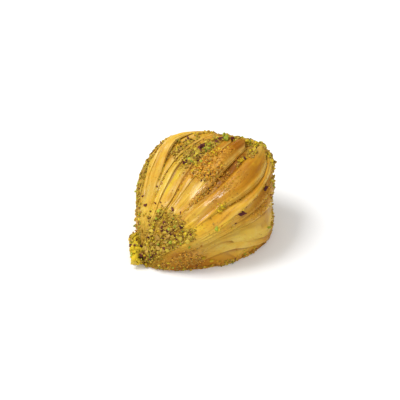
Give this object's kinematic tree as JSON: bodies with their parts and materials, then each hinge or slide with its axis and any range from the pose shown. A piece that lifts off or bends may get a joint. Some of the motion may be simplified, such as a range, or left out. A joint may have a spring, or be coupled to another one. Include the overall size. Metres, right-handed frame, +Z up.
{
  "type": "baklava piece",
  "caption": "Mussel-shell baklava: filo leaves gathered at a pistachio-covered tip and fanned over a domed body as overlapping petals; stands on its flat sole.",
  "frame": {"origin": "middle of the footprint box, on the surface that the piece rests on", "axes": "+X from the pistachio-covered tip to the blunt end, +Y to the left flank seen from the tip, +Z up"},
  "size_m": [0.0664, 0.0596, 0.0351],
  "materials": {
    "filo_pastry": null
  },
  "bodies": {
    "root": {"baklava": "filo_pastry"}
  },
  "joints": []
}
